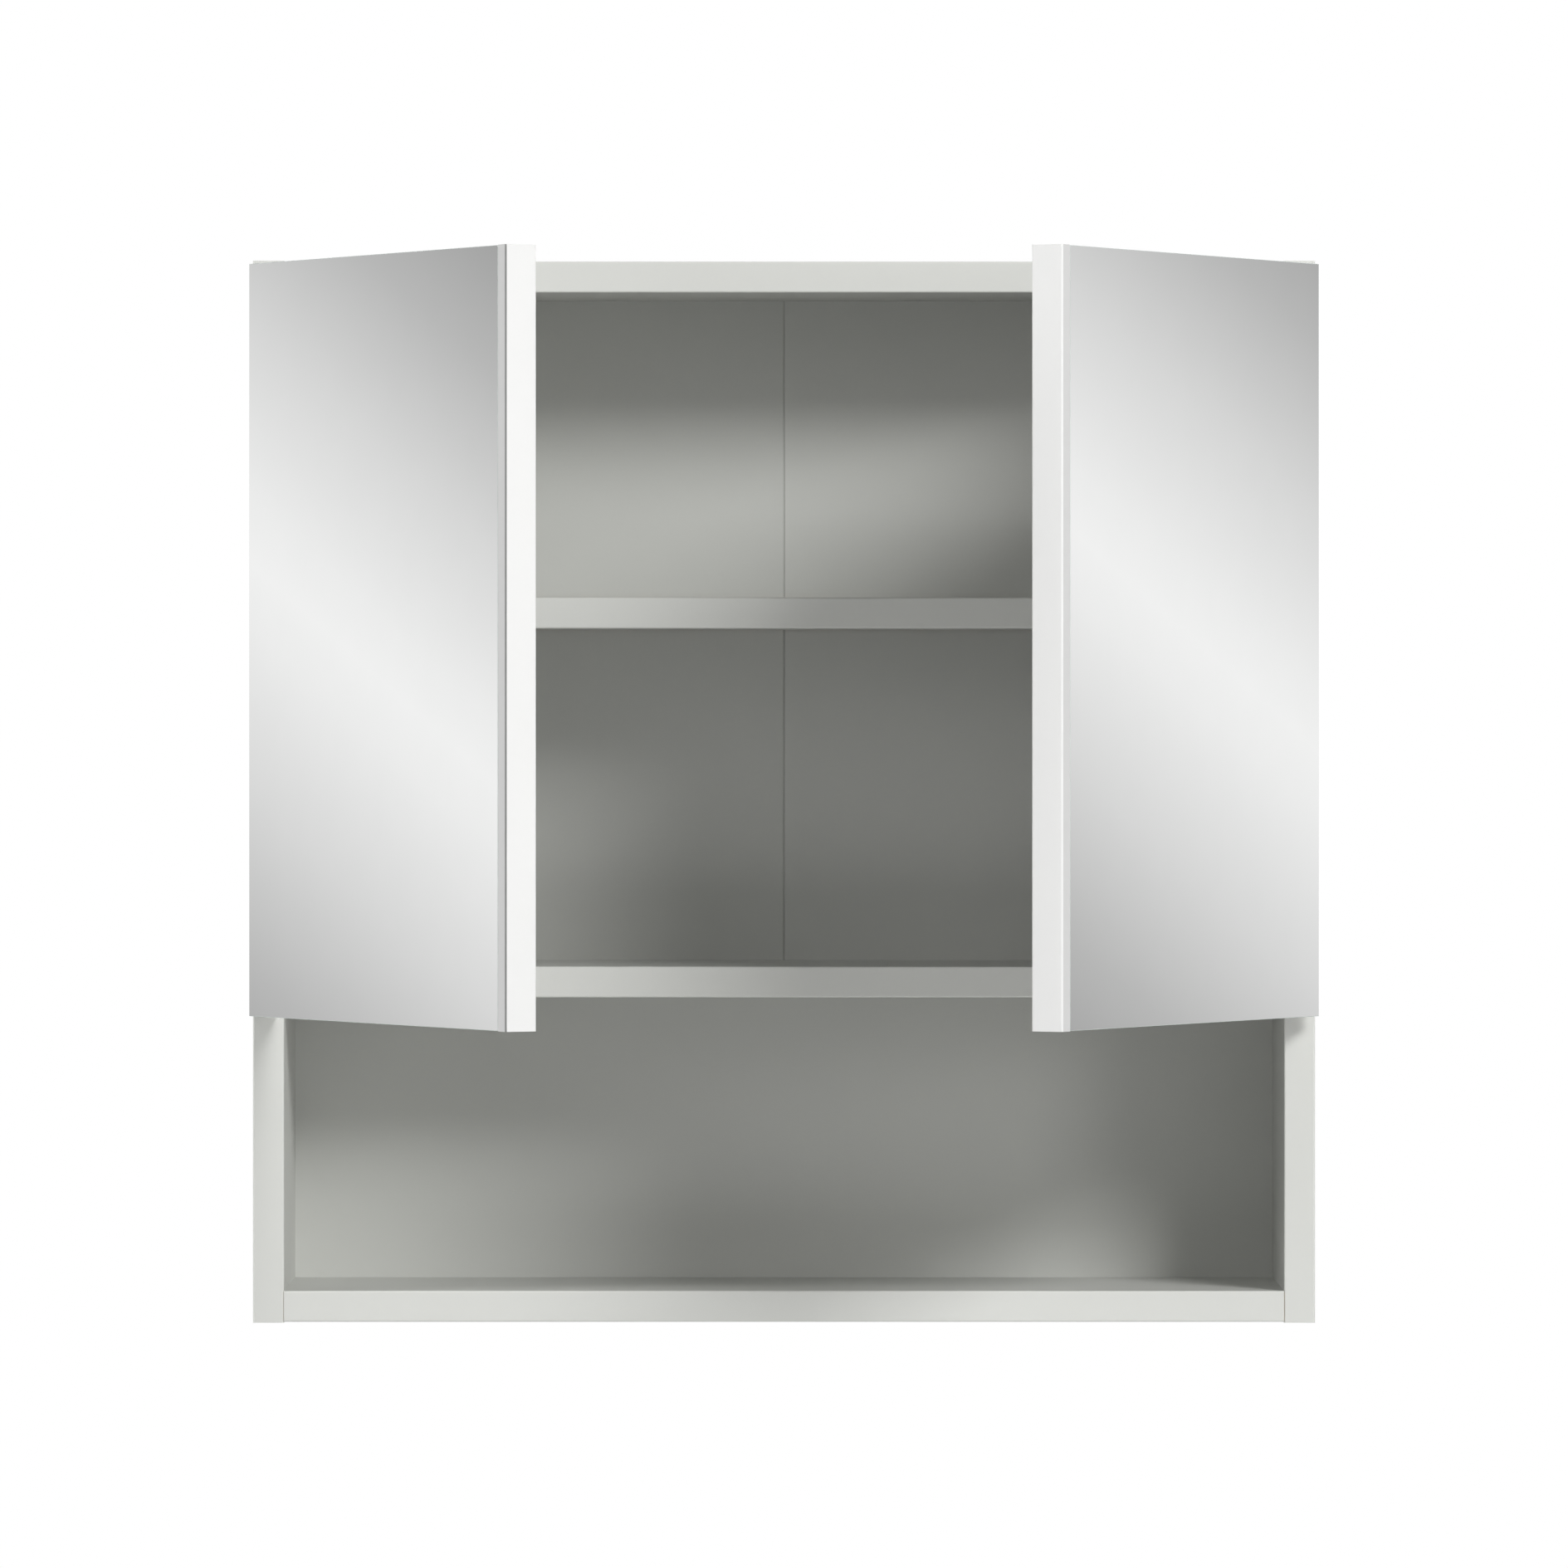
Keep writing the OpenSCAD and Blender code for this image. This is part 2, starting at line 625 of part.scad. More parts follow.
module hinge_arm_pins_left() color("#aeb0b2") place() arm_pins_left_solid();
module hinge_arm_pins_right() color("#aeb0b2") place() on_side("right") arm_pins_left_solid();

// Fixing and adjusting screws through the arm's back into the rail
module hinge_adjusters() color("#d4d6d7") place()
    both_sides() left_plan() at_hinges() for (v = adjusters_v) translate([0, v, 0])
        difference() {
            union() {
                rod_x(board_t + adjuster_tip, arm_back + arm_t, adjuster_r);
                translate([arm_back + arm_t, 0, 0]) rod_x(0, adjuster_head[1], adjuster_head[0]);
            }
            translate([arm_back + arm_t + adjuster_head[1], 0, 0]) rotate([0, 90, 0])
                cross_recess(adjuster_cross);
        }

// ---------------------------------------------------------------- hinges, links

// The two side plates of one hinge's outer link, bent to clear the cup's rim
module outer_link() {
    difference() {
        paired(outer_link_in, outer_link_out) {
            strip(cup_pivot, outer_elbow, outer_link_half);
            strip(outer_elbow, arm_pivot_outer, outer_link_half);
            translate(cup_pivot) circle(outer_cup_eye);
            translate(arm_pivot_outer) circle(outer_arm_eye);
        }
        translate(cup_pivot) centred(outer_link_out + over) circle(cup_pin_r + pin_play);
        translate(arm_pivot_outer) centred(outer_link_out + over) circle(arm_pin_r + pin_play);
    }
}

module outer_links_left_solid() left_plan() with_outer_link() at_hinges() outer_link();
module outer_links_left() color("#bfc1c3") place() outer_links_left_solid();
module outer_links_right() color("#bfc1c3") place() on_side("right") outer_links_left_solid();

// One hinge's inner link, between the outer link's plates, with the pin that floats in the cup
module inner_link() {
    difference() {
        centred(inner_link_half) {
            strip(free_pivot, inner_elbows[0], inner_link_strip);
            strip(inner_elbows[0], inner_elbows[1], inner_link_strip);
            strip(inner_elbows[1], arm_pivot_inner, inner_link_strip);
            translate(arm_pivot_inner) circle(inner_arm_eye);
        }
        translate(arm_pivot_inner) centred(inner_link_half + over) circle(arm_pin_r + pin_play);
    }
    translate(free_pivot) centred(lug_out - pin_short) circle(cup_pin_r);
}

module inner_links_left_solid() left_plan() with_inner_link() at_hinges() inner_link();
module inner_links_left() color("#b5b7b9") place() inner_links_left_solid();
module inner_links_right() color("#b5b7b9") place() on_side("right") inner_links_left_solid();

// ---------------------------------------------------------------- hinges, cups

// Outline of the cup's flange, seen from the back of the door: u across, z up
module flange_outline() {
    circle(flange_r);
    for (s = [-1, 1])
        strip([0, 0], [cup_screw_offset, s * cup_screw_pitch / 2], flange_ear_r);
}

// Draws a flat shape from the door's back, u across and z up, from depth v0 to v1
module from_back(v0, v1)
    translate([cup_centre, v1, 0]) rotate([90, 0, 0]) linear_extrude(v1 - v0) children();

module hinge_cup() {
    difference() {
        union() {
            from_back(door_rear, door_rear + flange_t) flange_outline();
            from_back(cup_floor, door_rear + eps) circle(cup_d / 2 - cup_side_play);
        }
        difference() {
            from_back(cup_floor + cup_wall, door_rear + flange_t + over)
                circle(cup_d / 2 - cup_wall);
            // Lugs beside the links carry the pins
            paired(lug_in, lug_out) translate([0, cup_floor])
                square([cup_centre, door_rear - lug_top - cup_floor]);
        }
        translate(free_slot) centred(lug_out + eps) circle(free_slot_r);
        for (s = [-1, 1])
            translate([cup_centre + cup_screw_offset, door_rear, s * cup_screw_pitch / 2])
                rod_y(-over, flange_t + over, cup_screw_r + cup_screw_play);
    }
    // Stub pins from the lugs into the outer link's plates
    translate(cup_pivot) paired(outer_link_in, lug_in + eps) circle(cup_pin_r);
}

module hinge_cups_left_solid() left_plan() with_door() at_hinges() hinge_cup();
module hinge_cups_left() color("#cdcfd1") place() hinge_cups_left_solid();
module hinge_cups_right() color("#cdcfd1") place() on_side("right") hinge_cups_left_solid();

module cup_screws_left_solid()
    left_plan() with_door() at_hinges() for (s = [-1, 1])
        translate([cup_centre + cup_screw_offset, door_rear + flange_t, s * cup_screw_pitch / 2])
            difference() {
                union() {
                    rod_y(-cup_screw_l, 0, cup_screw_r);
                    rod_y(0, cup_screw_head[1], cup_screw_head[0]);
                }
                translate([0, cup_screw_head[1], 0]) rotate([-90, 0, 0])
                    cross_recess(cup_screw_cross);
            }

module cup_screws_left() color("#d4d6d7") place() cup_screws_left_solid();
module cup_screws_right() color("#d4d6d7") place() on_side("right") cup_screws_left_solid();

// ---------------------------------------------------------------- doors

module door_board_left_solid()
    left_plan() with_door() difference() {
        translate([0, door_front, door_z]) linear_extrude(door_h)
            rounded_rect(door_w, door_t, edge_r);
        // Rebate that lets the mirror in, open at the top, the bottom and the hinge edge
        translate([-over, door_front - over, door_z - over])
            cube([door_w - mirror_bare + over, rebate_v - door_front + over, door_h + 2 * over]);
        at_hinges() {
            from_back(door_rear - cup_depth, door_rear + over) circle(cup_d / 2);
            for (s = [-1, 1])
                translate([cup_centre + cup_screw_offset, door_rear, s * cup_screw_pitch / 2])
                    rod_y(-cup_screw_bore, over, cup_screw_r);
        }
    }

module door_board_left() color("#f4f4f2") place() door_board_left_solid();
module door_board_right() color("#f4f4f2") place() on_side("right") door_board_left_solid();

module door_mirror_left_solid()
    left_plan() with_door()
        translate([mirror_margin, door_front, door_z + mirror_margin])
            cube([mirror_w, mirror_t, mirror_h]);

module door_mirror_left() color("#c8ccd0") place() door_mirror_left_solid();
module door_mirror_right() color("#c8ccd0") place() on_side("right") door_mirror_left_solid();

module mirror_tape_left_solid()
    left_plan() with_door() for (k = [0 : tape_strips - 1])
        translate([mirror_margin + tape_side
                       + k * (mirror_w - 2 * tape_side - mount_tape_w) / (tape_strips - 1),
                   mirror_back, door_z + mirror_margin + tape_short])
            cube([mount_tape_w, mount_tape_t, mirror_h - 2 * tape_short]);

module mirror_tape_left() color("#f0f0ee") place() mirror_tape_left_solid();
module mirror_tape_right() color("#f0f0ee") place() on_side("right") mirror_tape_left_solid();

module door_bumpers_left_solid()
    left_plan() with_door() for (z = [middle_z + board_t / 2, top_z + board_t / 2])
        translate([door_w - bumper_inset, door_rear, z]) rod_y(0, bumper_t, bumper_d / 2);

module door_bumpers_left() color("#e6e8ea") place() door_bumpers_left_solid();
module door_bumpers_right() color("#e6e8ea") place() on_side("right") door_bumpers_left_solid();

// ---------------------------------------------------------------- assembly

side_panel_left();
side_panel_right();
top_panel();
middle_panel();
bottom_panel();
back_upper_left();
back_upper_right();
back_fold_tape();
back_lower();
shelf();
shelf_pins();
cam_locks();
cam_bolts();
dowels();
hanger_plate_left();
hanger_plate_right();
hanger_screws();
hinge_plates_left();
hinge_plates_right();
hinge_plate_screws();
hinge_arms_left();
hinge_arms_right();
hinge_arm_pins_left();
hinge_arm_pins_right();
hinge_adjusters();
outer_links_left();
outer_links_right();
inner_links_left();
inner_links_right();
hinge_cups_left();
hinge_cups_right();
cup_screws_left();
cup_screws_right();
door_board_left();
door_board_right();
door_mirror_left();
door_mirror_right();
mirror_tape_left();
mirror_tape_right();
door_bumpers_left();
door_bumpers_right();
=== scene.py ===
"""Hanging wall cabinet with two mirrored doors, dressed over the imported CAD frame.

Metres, +Z up, and the front faces -Y. Colours are linear red, green and blue. The carcass, doors,
hinges and fittings are the CAD nodes with procedural materials. Three pieces are added: two mirror
glasses, which stand for their plain CAD plates, and the foil in the fold of the upper back panel.
"""
import math

import bmesh
import bpy
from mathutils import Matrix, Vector


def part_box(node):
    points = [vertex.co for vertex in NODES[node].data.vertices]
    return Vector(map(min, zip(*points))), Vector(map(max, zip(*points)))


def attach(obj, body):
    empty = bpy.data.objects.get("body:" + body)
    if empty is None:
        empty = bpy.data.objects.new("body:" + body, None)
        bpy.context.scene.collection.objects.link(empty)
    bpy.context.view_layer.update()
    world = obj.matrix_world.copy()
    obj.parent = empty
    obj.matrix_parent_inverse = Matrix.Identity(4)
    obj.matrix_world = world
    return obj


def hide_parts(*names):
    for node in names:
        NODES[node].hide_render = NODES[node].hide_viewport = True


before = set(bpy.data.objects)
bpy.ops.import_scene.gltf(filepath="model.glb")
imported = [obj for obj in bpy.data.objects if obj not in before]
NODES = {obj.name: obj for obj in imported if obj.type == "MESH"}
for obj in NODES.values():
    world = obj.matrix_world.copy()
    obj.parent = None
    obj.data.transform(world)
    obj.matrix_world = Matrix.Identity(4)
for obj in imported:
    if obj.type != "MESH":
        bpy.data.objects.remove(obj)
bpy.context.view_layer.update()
SCENE = bpy.context.scene
SIDES = ("left", "right")
MM = 0.001
SAME_POINT = 0.01 * MM         # points nearer than this are one point


# ------------------------------------------------------------------ camera

LENS_MM = 235.0
SENSOR_MM = 36.0
LENS_SHIFT = -0.0637           # share of the sensor's width
CAMERA_PLACE = (0.0, -5.927, -0.1942)
VIEW_DEPTH = 60.0              # nothing farther from the camera is drawn


def make_camera():
    """Long lens from straight in front, a little below the middle of the doors."""
    data = bpy.data.cameras.new("photo_camera")
    data.lens = LENS_MM
    data.sensor_width = SENSOR_MM
    data.shift_y = LENS_SHIFT
    data.clip_end = VIEW_DEPTH
    camera = bpy.data.objects.new("photo_camera", data)
    camera.location = CAMERA_PLACE
    camera.rotation_euler = (math.radians(90), 0, 0)
    SCENE.collection.objects.link(camera)
    SCENE.camera = camera


# ------------------------------------------------------------------ node helpers

class Nodes:
    """Short way to write a node tree. A value is a number, a colour or another node's output."""

    def __init__(self, tree):
        self.tree = tree
        self.tree.nodes.clear()

    def add(self, kind, inputs=None, **settings):
        node = self.tree.nodes.new(kind)
        for name, value in settings.items():
            setattr(node, name, value)
        for name, value in (inputs or {}).items():
            socket = node.inputs[name]
            if isinstance(value, bpy.types.NodeSocket):
                self.tree.links.new(value, socket)
            else:
                socket.default_value = (*value, 1.0) if socket.type == "RGBA" else value
        return node

    def coordinates(self):
        return self.add("ShaderNodeTexCoord").outputs["Object"]

    def axis(self, name):
        """One of the object's coordinates: X, Y or Z."""
        return self.add("ShaderNodeSeparateXYZ", {0: self.coordinates()}).outputs[name]

    def stretched(self, scale):
        """Coordinates scaled along each axis, for marks that are longer one way."""
        return self.add("ShaderNodeVectorMath", {0: self.coordinates(), 1: scale},
                        operation="MULTIPLY").outputs[0]

    def shifted(self, offset):
        """Coordinates moved aside, so that two noises in one material don't line up."""
        return self.add("ShaderNodeVectorMath",
                        {0: self.coordinates(), 1: (offset, offset * 0.7, offset * 1.3)},
                        operation="ADD").outputs[0]

    def noise(self, scale=1.0, detail=2.0, roughness=0.5, vector=None):
        inputs = {"Vector": vector or self.coordinates(), "Scale": scale, "Detail": detail,
                  "Roughness": roughness}
        return self.add("ShaderNodeTexNoise", inputs).outputs["Fac"]

    def math(self, operation, a, b=0.0):
        return self.add("ShaderNodeMath", {0: a, 1: b}, operation=operation).outputs[0]

    def between(self, value, low, high):
        """A number that runs from low to high as value runs from 0 to 1."""
        return self.math("ADD", low, self.math("MULTIPLY", value, high - low))

    def blend(self, a, b, share):
        """The given share of a, and b for the rest."""
        return self.math("ADD", self.math("MULTIPLY", a, share),
                         self.math("MULTIPLY", b, 1.0 - share))

    def mix(self, factor, a, b):
        """A colour that runs from a to b as factor runs from 0 to 1."""
        inputs = {0: factor, 6: a, 7: b}       # the places of the colour sockets
        return self.add("ShaderNodeMix", inputs, data_type="RGBA").outputs[2]

    def ramp(self, factor, stops):
        """A colour from stops, each a position and a colour."""
        node = self.add("ShaderNodeValToRGB", {"Fac": factor})
        elements = node.color_ramp.elements
        while len(elements) < len(stops):
            elements.new(0.5)
        for element, (position, colour) in zip(elements, stops):
            element.position = position
            element.color = (*colour, 1.0)
        return node.outputs["Color"]

    def bump(self, height, strength, distance):
        """Normals of a fine relief. distance is its depth in metres."""
        inputs = {"Height": height, "Strength": strength, "Distance": distance}
        return self.add("ShaderNodeBump", inputs).outputs["Normal"]

    def output(self, shader, kind="Material"):
        """Ends the tree of a material or a World."""
        self.add("ShaderNodeOutput" + kind, {"Surface": shader.outputs[0]})

    def surface(self, **inputs):
        """Principled surface. The inputs' names have _ in place of spaces."""
        named = {name.replace("_", " "): value for name, value in inputs.items()}
        self.output(self.add("ShaderNodeBsdfPrincipled", named))


def material(name):
    """A new material, and the helper for its nodes."""
    made = bpy.data.materials.new(name)
    made.use_nodes = True
    return made, Nodes(made.node_tree)


def toned(colour, factor):
    """The colour made lighter or darker by factor."""
    return tuple(channel * factor for channel in colour)


# ------------------------------------------------------------------ materials

def melamine(name, colour):
    """Melamine foil or edge band: fine pearl texture and faint cloudiness."""
    made, nodes = material(name)
    cloud = nodes.noise(5.0, detail=3.0)
    pearl = nodes.noise(900.0, roughness=0.6)
    shade = nodes.blend(cloud, pearl, 0.7)
    nodes.surface(
        Base_Color=nodes.mix(shade, toned(colour, 0.975), toned(colour, 1.02)),
        Roughness=nodes.between(pearl, 0.40, 0.50),
        Specular_IOR_Level=0.25,
        Normal=nodes.bump(pearl, strength=0.20, distance=0.06 * MM))
    return made


def chipboard(name):
    """Core of the boards where they are cut or drilled."""
    made, nodes = material(name)
    place = nodes.stretched((260.0, 260.0, 520.0))
    flakes = nodes.add("ShaderNodeTexVoronoi", {"Vector": place, "Scale": 1.0}).outputs
    shade = nodes.add("ShaderNodeSeparateColor", {0: flakes["Color"]}).outputs[0]
    nodes.surface(
        Base_Color=nodes.ramp(shade, [(0.0, (0.30, 0.19, 0.10)), (0.5, (0.47, 0.33, 0.19)),
                                      (1.0, (0.62, 0.47, 0.30))]),
        Roughness=0.85,
        Normal=nodes.bump(flakes["Distance"], strength=0.6, distance=0.4 * MM))
    return made


def fibreboard(name, colour, bare_from):
    """Thin back panel: lacquered in front, and bare brown fibres where y is above bare_from."""
    made, nodes = material(name)
    fine = nodes.noise(700.0, roughness=0.6)
    cloud = nodes.noise(7.0, detail=3.0, vector=nodes.shifted(3.0))
    fibres = nodes.noise(detail=4.0, roughness=0.65, vector=nodes.stretched((420.0, 420.0, 260.0)))
    lacquer = nodes.mix(cloud, toned(colour, 0.97), colour)
    brown = nodes.ramp(fibres, [(0.25, (0.20, 0.115, 0.058)), (0.5, (0.30, 0.185, 0.10)),
                                (0.8, (0.42, 0.28, 0.165))])
    bare = nodes.math("GREATER_THAN", nodes.axis("Y"), bare_from)
    nodes.surface(
        Base_Color=nodes.mix(bare, lacquer, brown),
        Roughness=nodes.between(bare, 0.45, 0.80),
        Specular_IOR_Level=0.25,
        Normal=nodes.bump(nodes.mix(bare, fine, fibres), strength=0.25, distance=0.1 * MM))
    return made


def metal(name, colour, roughness, scratches=(1500.0, 1500.0, 1500.0), blotch=0.0):
    """Plated steel or die-cast zinc. scratches gives their number in a metre along each axis."""
    made, nodes = material(name)
    lines = nodes.noise(detail=3.0, roughness=0.6, vector=nodes.stretched(scratches))
    spots = nodes.noise(160.0, detail=3.0, roughness=0.6, vector=nodes.shifted(1.7))
    shade = nodes.blend(lines, spots, 0.5)
    nodes.surface(
        Base_Color=nodes.mix(shade, toned(colour, 0.90 - blotch), colour),
        Metallic=1.0,
        Roughness=nodes.between(lines, roughness - 0.05, roughness + 0.07),
        Normal=nodes.bump(lines, strength=0.12, distance=0.03 * MM))
    return made


def silvered_glass(name):
    """The mirror's face, with barely visible haze in its tone."""
    made, nodes = material(name)
    haze = nodes.noise(40.0, detail=3.0)
    nodes.surface(
        Base_Color=nodes.mix(haze, (0.925, 0.930, 0.925), (0.945, 0.948, 0.943)),
        Metallic=1.0,
        Roughness=nodes.between(haze, 0.012, 0.022))
    return made


def glass_edge(name):
    """Ground and polished edge of the mirror glass, pale grey-green."""
    made, nodes = material(name)
    grind = nodes.noise(roughness=0.6, vector=nodes.stretched((900.0, 900.0, 90.0)))
    nodes.surface(
        Base_Color=nodes.mix(grind, (0.58, 0.64, 0.61), (0.70, 0.76, 0.73)),
        Roughness=nodes.between(grind, 0.18, 0.33),
        Coat_Weight=0.5,
        Coat_Roughness=0.08,
        Normal=nodes.bump(grind, strength=0.15, distance=0.03 * MM))
    return made


def backing_paint(name):
    """Grey protective paint on the mirror's rear."""
    made, nodes = material(name)
    roller = nodes.noise(220.0, detail=3.0, roughness=0.55)
    nodes.surface(
        Base_Color=nodes.mix(roller, (0.20, 0.215, 0.22), (0.27, 0.285, 0.29)),
        Roughness=0.55,
        Normal=nodes.bump(roller, strength=0.2, distance=0.08 * MM))
    return made


def plastic(name, colour, roughness, transmission=0.0):
    """Foam tape and soft bumpers: one colour with a fine grain."""
    made, nodes = material(name)
    grain = nodes.noise(600.0)
    nodes.surface(
        Base_Color=nodes.mix(grain, toned(colour, 0.94), colour),
        Roughness=nodes.between(grain, roughness - 0.04, roughness + 0.04),
        Transmission_Weight=transmission,
        Normal=nodes.bump(grain, strength=0.15, distance=0.05 * MM))
    return made


def paper_tape(name):
    """Crepe paper tape over the fold of the back."""
    made, nodes = material(name)
    crepe = nodes.noise(detail=3.0, roughness=0.6, vector=nodes.stretched((500.0, 500.0, 2600.0)))
    nodes.surface(
        Base_Color=nodes.mix(crepe, (0.60, 0.545, 0.41), (0.74, 0.69, 0.56)),
        Roughness=0.8,
        Normal=nodes.bump(crepe, strength=0.4, distance=0.1 * MM))
    return made


def beech(name):
    """Dowels: pale beech with its flecks along the pin."""
    made, nodes = material(name)
    flecks = nodes.noise(detail=3.0, roughness=0.6, vector=nodes.stretched((180.0, 1100.0, 1100.0)))
    nodes.surface(
        Base_Color=nodes.mix(flecks, (0.55, 0.36, 0.19), (0.72, 0.52, 0.31)),
        Roughness=0.6,
        Normal=nodes.bump(flecks, strength=0.3, distance=0.1 * MM))
    return made


# ------------------------------------------------------------------ CAD nodes

FOIL, BAND, CORE, PAINTED_SEAM = range(4)      # places of a board's materials
CORNER_ROUND = 1.05 * MM       # reach of the boards' rounded edges
ON_FACE = 0.1 * MM             # a polygon this near to its board's box lies on the board's face
SQUARE = 0.9                   # a polygon faces an axis if its normal has more than this along it
LEANING = 0.05                 # and leans towards it, as on a rounded edge, if more than this
PAINTED_SEAM_LEAN = 0.25               # the seam is the part of a door's rounded edge that looks forward; its tone is painted shade on the left door and a painted highlight on the right
REBATE_END = 4.5 * MM          # depth in a door between the mirror's rebate and the cups' bores
DOOR_REAR = 18.0 * MM          # depth in a door a little in front of its rear face
BACK_SKIN = 0.5 * MM           # the back panels are bare brown in this last part of their depth
BACK_ARRIS = 0.1 * MM
SHARP = math.radians(40)       # an edge is rounded if its faces meet at more than this


def both(*names):
    """Each name with the endings of the left and the right side."""
    return [name + "_" + side for name in names for side in SIDES]


def dress(names, made):
    """Gives CAD nodes one material."""
    for name in names:
        for place in NODES[name].material_slots:
            place.material = made


def soften(names, width):
    """Rounds the sharp edges of CAD nodes by width."""
    for name in names:
        weld = NODES[name].modifiers.new("weld", "WELD")
        weld.merge_threshold = SAME_POINT
        edge = NODES[name].modifiers.new("arris", "BEVEL")
        edge.width = width
        edge.segments = 2
        edge.limit_method = "ANGLE"
        edge.angle_limit = SHARP
        edge.harden_normals = True


def add_materials(data, made):
    """Adds materials to a mesh, in their order."""
    for one in made:
        data.materials.append(one)


def face_board(name, made):
    """Gives a carcass board its foil, its edge band, and the core at the rear edge and in bores.

    made holds those three materials. Upright boards have banded ends, lying boards bare ones.
    """
    data = NODES[name].data
    low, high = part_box(name)
    upright = high.z - low.z > high.x - low.x
    data.materials.clear()
    add_materials(data, made)
    for polygon in data.polygons:
        centre, normal = polygon.center, polygon.normal
        from_side = min(centre.x - low.x, high.x - centre.x)
        from_end = min(centre.z - low.z, high.z - centre.z)
        if centre.y < low.y + CORNER_ROUND and normal.y < -LEANING:
            polygon.material_index = BAND
        elif centre.y > high.y - CORNER_ROUND and normal.y > LEANING:
            polygon.material_index = CORE
        elif from_side < ON_FACE and abs(normal.x) > SQUARE:
            polygon.material_index = FOIL if upright else CORE
        elif from_end < ON_FACE and abs(normal.z) > SQUARE:
            polygon.material_index = BAND if upright else FOIL
        else:
            polygon.material_index = CORE


def mirror_plan(side):
    """A mirror seen from above: its face's corner at the hinge edge, and its two directions.

    across runs along the face to the free edge, and inward through the glass to its rear. The doors
    stand open at rest, with the free edge towards the viewer and the face away from the middle.
    """
    corners = []
    for vertex in NODES["door_mirror_" + side].data.vertices:
        point = vertex.co.xy
        if all((point - other).length > SAME_POINT for other in corners):
            corners.append(point)
    corners.sort(key=lambda point: point.y)
    free = max(corners[:2], key=lambda point: abs(point.x))
    rear, start = sorted(corners[2:], key=lambda point: abs(point.x))
    return start, free - start, rear - start


def face_door(side, made):
    """Gives a door board its foil, edge band and core, and the seam at its front's free edge, whose
    tone is painted shade on the left door and a painted highlight on the right.

    made holds those four materials.
    """
    data = NODES["door_board_" + side].data
    start, across, inward = mirror_plan(side)
    across.normalize()
    inward.normalize()
    reaches = [(vertex.co.xy - start).dot(across) for vertex in data.vertices]
    first, last = min(reaches) + CORNER_ROUND, max(reaches) - CORNER_ROUND
    data.materials.clear()
    add_materials(data, made)
    for polygon in data.polygons:
        place, normal = polygon.center.xy - start, polygon.normal
        reach, depth = place.dot(across), place.dot(inward)
        forward, sideways = -normal.xy.dot(inward), normal.xy.dot(across)
        if forward > PAINTED_SEAM_LEAN and sideways > LEANING and reach > last:
            polygon.material_index = PAINTED_SEAM
        elif abs(normal.z) > SQUARE or not first < reach < last:
            polygon.material_index = BAND
        elif abs(forward) > SQUARE and not REBATE_END < depth < DOOR_REAR:
            polygon.material_index = FOIL
        elif depth < REBATE_END:
            polygon.material_index = BAND
        else:
            polygon.material_index = CORE


def dress_carcass(core):
    """Boards of the carcass and the shelf, and the back panels with their tape."""
    # painted shade: the foil is darker than the edge band of the same board, for the shade inside
    # the cabinet; it darkens the outer faces too
    made = (melamine("carcass_foil_painted_shade", (0.560, 0.566, 0.540)),
            melamine("carcass_edge_band", (0.727, 0.735, 0.702)), core)
    for name in ("side_panel_left", "side_panel_right", "top_panel", "middle_panel", "bottom_panel",
                 "shelf"):
        face_board(name, made)
    backs = both("back_upper") + ["back_lower"]
    bare_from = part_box("back_lower")[1].y - BACK_SKIN
    dress(backs, fibreboard("back_fibreboard", (0.635, 0.642, 0.612), bare_from))
    soften(backs, BACK_ARRIS)
    dress(["back_fold_tape"], paper_tape("fold_tape"))


def dress_doors(core):
    """Door boards, the tape behind the mirrors, and the bumpers.

    The seams differ in tone, because the photo shows a dark line on the left and a bright one on
    the right: the left seam's dark tone is painted shade and the right seam's light tone a painted
    highlight.
    """
    # painted shade: the foil is darker than the edge band of the same white board, for the shade on
    # faces turned away from the light
    foil = melamine("door_foil_painted_shade", (0.70, 0.70, 0.695))
    band = melamine("door_edge_band", (0.89, 0.89, 0.88))
    # painted shade in the left door's dark seam, painted highlight in the right door's light seam
    for side, colour in (("left", (0.27, 0.27, 0.2673)), ("right", (0.92, 0.92, 0.9108))):
        face_door(side, (foil, band, core, melamine("door_seam_painted_light_" + side, colour)))
    dress(both("mirror_tape"), plastic("mounting_tape", (0.80, 0.80, 0.78), 0.7))
    dress(both("door_bumpers"), plastic("bumper_rubber", (0.75, 0.77, 0.78), 0.4, transmission=0.5))


def dress_fittings():
    """Hinges, screws, cams, dowels, shelf pins and hanger plates."""
    dress(["shelf_pins"] + both("hinge_arms", "hinge_plates", "hinge_arm_pins", "hinge_cups",
                                "outer_links", "inner_links"),
          metal("nickel_plate", (0.74, 0.73, 0.71), 0.24, scratches=(1500.0, 450.0, 1500.0)))
    dress(["hanger_screws", "hinge_plate_screws", "hinge_adjusters"] + both("cup_screws"),
          metal("screw_steel", (0.70, 0.70, 0.70), 0.30))
    dress(both("hanger_plate"),
          metal("galvanised_steel", (0.66, 0.68, 0.70), 0.42, blotch=0.08))
    dress(["cam_locks"], metal("die_cast_zinc", (0.62, 0.63, 0.64), 0.38, blotch=0.05))
    dress(["cam_bolts"], metal("yellow_zinc_steel", (0.80, 0.66, 0.36), 0.34))
    dress(["dowels"], beech("dowel_beech"))


# ------------------------------------------------------------------ added pieces

